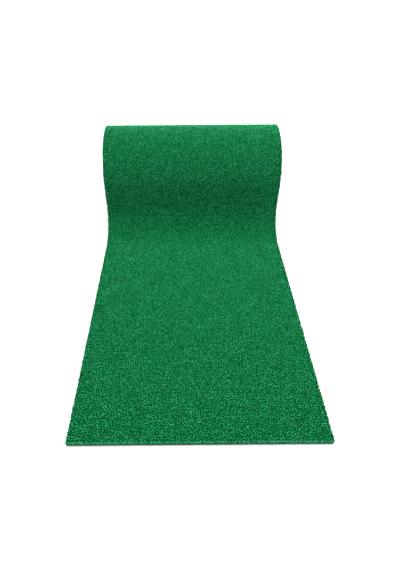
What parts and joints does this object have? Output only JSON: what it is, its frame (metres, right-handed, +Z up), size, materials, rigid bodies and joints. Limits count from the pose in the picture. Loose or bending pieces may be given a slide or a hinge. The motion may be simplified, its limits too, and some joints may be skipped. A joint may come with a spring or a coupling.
{
  "type": "putting mat",
  "caption": "Practice putting mat: a strip of green curled-pile turf with a black latex backing, partly unrolled from a round roll wound on a cardboard core.",
  "frame": {"origin": "on the floor, under the middle of the bounding box", "axes": "+X across the mat; +Y from the free end towards the roll; +Z up"},
  "size_m": [0.3, 0.5656, 0.1573],
  "materials": {
    "turf_pile": "curled synthetic yarn, matt with a soft sheen",
    "primary_backing": "woven tape yarn, matt",
    "latex_backing": "cast latex with a fine waffle, matt",
    "core_cardboard": "spiral-wound kraft board"
  },
  "bodies": {
    "laid_run": {"run_pile": "turf_pile", "run_primary_backing": "primary_backing", "run_latex_backing": "latex_backing"},
    "free_end": {"free_end_pile": "turf_pile", "free_end_primary_backing": "primary_backing", "free_end_latex_backing": "latex_backing"},
    "roll_carriage": {"riser_pile": "turf_pile", "riser_primary_backing": "primary_backing", "riser_latex_backing": "latex_backing", "outer_turn_pile": "turf_pile", "outer_turn_primary_backing": "primary_backing", "outer_turn_latex_backing": "latex_backing"},
    "windings": {"wound_pile": "turf_pile", "wound_primary_backing": "primary_backing", "wound_latex_backing": "latex_backing"},
    "core": {"core_tube": "core_cardboard"}
  },
  "joints": [
    {"name": "free_end_lift", "type": "hinge", "parent": "laid_run", "child": "free_end", "pos_m": [0, -0.17285, 0.0065], "axis": [-1, 0, 0], "range_deg": [0, 75]},
    {"name": "roll_out", "type": "slide", "parent": "laid_run", "child": "roll_carriage", "axis": [0, 1, 0], "range_m": [0, 0.12], "deforming": ["run_pile", "run_primary_backing", "run_latex_backing"]},
    {"name": "roll_turn", "type": "hinge", "parent": "roll_carriage", "child": "windings", "pos_m": [0, 0.20415, 0.0787], "axis": [1, 0, 0], "range_deg": [0, 92.5]},
    {"name": "core_pull", "type": "slide", "parent": "windings", "child": "core", "axis": [1, 0, 0], "range_m": [0, 0.3]}
  ],
  "couplings": [
    {"joint": "roll_turn", "follows": "roll_out", "rad_per_m": 13.45}
  ]
}
